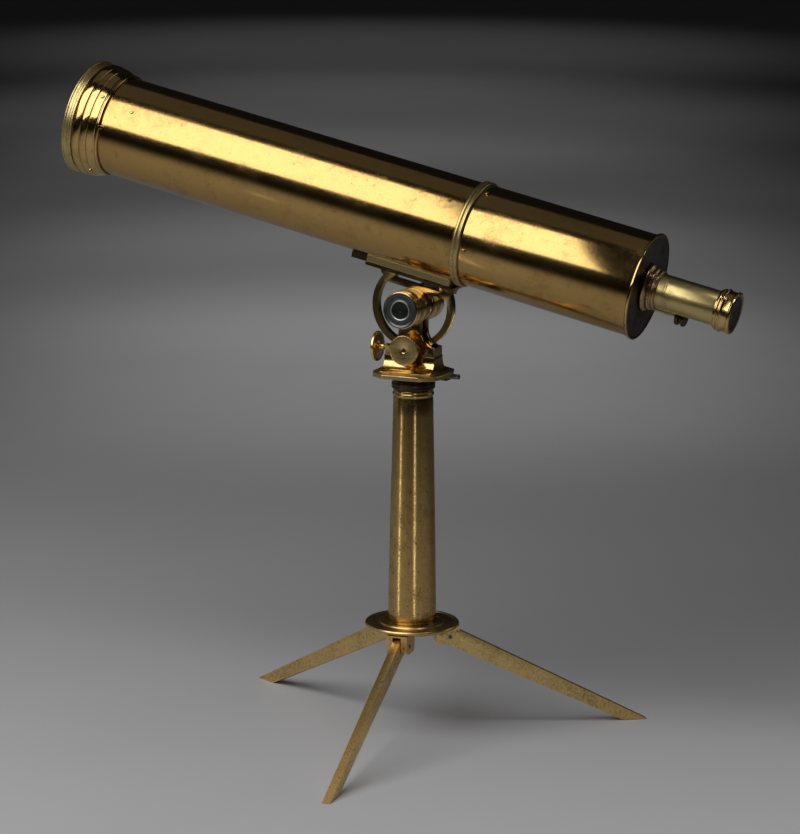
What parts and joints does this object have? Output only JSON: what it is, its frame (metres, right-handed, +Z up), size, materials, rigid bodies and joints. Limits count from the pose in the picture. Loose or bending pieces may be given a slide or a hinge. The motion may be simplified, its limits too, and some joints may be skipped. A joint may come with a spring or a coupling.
{
  "type": "reflecting telescope",
  "caption": "Tabletop brass reflecting telescope on a folding tripod stand, with worm-driven azimuth and altitude motions, a rod focuser and a push-on dust cap.",
  "frame": {"origin": "middle of the object's footprint box, on the surface that the feet rest on", "axes": "+Z up; +X towards the eyepiece, the tube lying in a plane parallel to XZ; +Y towards the side with the focusing rod"},
  "size_m": [0.7538, 0.412, 0.7091],
  "materials": {
    "lacquered_brass": "golden-brown old lacquer over drawn brass, satin to polished, finely pitted",
    "polished_brass": "polished turned and cast brass, brown tarnish in the recesses",
    "pale_brass": "unlacquered, slightly greenish pale brass with soft scratches",
    "worn_brass": "brown mottled lacquer, worn through to brass at the edges",
    "darkened_brass": "chemically darkened, nearly black brown, satin",
    "blued_steel": "blued and fine-turned steel",
    "speculum_metal": "mirror-polished tin bronze",
    "optical_glass": "polished crown glass"
  },
  "bodies": {
    "stand": {"base_disc": "worn_brass", "leg_lug_1": "worn_brass", "leg_lug_2": "worn_brass", "leg_lug_3": "worn_brass", "leg_pin_1": "blued_steel", "leg_pin_2": "blued_steel", "leg_pin_3": "blued_steel", "pillar": "lacquered_brass", "azimuth_wheel": "darkened_brass", "azimuth_spindle": "blued_steel", "spindle_nut": "blued_steel"},
    "leg_1": {"leg_1": "worn_brass"},
    "leg_2": {"leg_2": "worn_brass"},
    "leg_3": {"leg_3": "worn_brass"},
    "head": {"head_plate": "polished_brass", "head_bracket": "polished_brass", "drum_near": "polished_brass", "drum_far": "polished_brass", "drum_cap_near": "blued_steel", "drum_cap_far": "blued_steel", "altitude_axle": "blued_steel", "worm_bearing_left": "polished_brass", "worm_bearing_right": "polished_brass"},
    "azimuth_drive": {"azimuth_worm": "blued_steel"},
    "altitude_drive": {"altitude_worm": "blued_steel", "altitude_knob": "polished_brass"},
    "clamp": {"clamp_screw": "blued_steel", "clamp_knob": "polished_brass"},
    "tube": {"altitude_wheel": "polished_brass", "saddle_bolt": "blued_steel", "dovetail_bar": "darkened_brass", "saddle_rail_near": "pale_brass", "saddle_rail_far": "pale_brass", "front_tube": "lacquered_brass", "rear_tube": "lacquered_brass", "joint_ring": "pale_brass", "joint_sleeve": "darkened_brass", "mouth_ring": "polished_brass", "back_plate": "darkened_brass", "primary_mirror": "speculum_metal", "mirror_cell": "polished_brass", "mirror_spring": "blued_steel", "eye_boss": "pale_brass", "eye_tube": "pale_brass", "eye_cap": "polished_brass", "field_lens": "optical_glass", "field_lens_ring": "pale_brass", "eye_lens": "optical_glass", "eye_lens_cell": "pale_brass", "rod_bracket_front": "pale_brass", "rod_bracket_rear": "pale_brass"},
    "dust_cap": {"dust_cap": "pale_brass"},
    "focus": {"focus_rod": "pale_brass", "focus_knob": "darkened_brass"},
    "secondary": {"mirror_carriage": "pale_brass", "secondary_arm": "darkened_brass", "secondary_cell": "darkened_brass", "secondary_mirror": "speculum_metal"}
  },
  "joints": [
    {"name": "leg_1_fold", "type": "hinge", "parent": "stand", "child": "leg_1", "pos_m": [0.05303, 0.07879, 0.1055], "axis": [-0.5548, 0.832, 0], "range_deg": [0, 63]},
    {"name": "leg_2_fold", "type": "hinge", "parent": "stand", "child": "leg_2", "pos_m": [-0.01611, 0.07431, 0.1055], "axis": [-0.4431, -0.8965, 0], "range_deg": [0, 63]},
    {"name": "leg_3_fold", "type": "hinge", "parent": "stand", "child": "leg_3", "pos_m": [0.02233, 0.01668, 0.1055], "axis": [0.9979, 0.0645, 0], "range_deg": [0, 63]},
    {"name": "azimuth", "type": "hinge", "parent": "stand", "child": "head", "pos_m": [0.01975, 0.05659, 0.3923], "axis": [0, 0, 1], "continuous": true},
    {"name": "azimuth_screw", "type": "hinge", "parent": "head", "child": "azimuth_drive", "pos_m": [0.01975, 0.08169, 0.3885], "axis": [1, 0, 0], "continuous": true},
    {"name": "altitude", "type": "hinge", "parent": "head", "child": "tube", "pos_m": [0.01975, 0.05659, 0.4665], "axis": [0, 1, 0], "range_deg": [-32, 67]},
    {"name": "altitude_screw", "type": "hinge", "parent": "head", "child": "altitude_drive", "pos_m": [0.01975, 0.05659, 0.42], "axis": [1, 0, 0], "range_deg": [-3080, 6440]},
    {"name": "clamp_turn", "type": "hinge", "parent": "head", "child": "clamp", "pos_m": [0.01975, 0.05659, 0.4224], "axis": [0, -1, 0], "range_deg": [0, 360]},
    {"name": "cap_pull", "type": "slide", "parent": "tube", "child": "dust_cap", "axis": [-0.9755, 0, 0.2198], "range_m": [0, 0.05]},
    {"name": "focus_turn", "type": "hinge", "parent": "tube", "child": "focus", "pos_m": [0.03309, 0.10745, 0.52572], "axis": [0.9755, 0, -0.2198], "range_deg": [-1475, 1475]},
    {"name": "mirror_travel", "type": "slide", "parent": "tube", "child": "secondary", "axis": [0.9755, 0, -0.2198], "range_m": [-0.0052, 0.0052]}
  ],
  "couplings": [
    {"joint": "azimuth_screw", "follows": "azimuth", "ratio": -46},
    {"joint": "altitude_screw", "follows": "altitude", "ratio": 96},
    {"joint": "focus_turn", "follows": "mirror_travel", "rad_per_m": 4947.4}
  ]
}
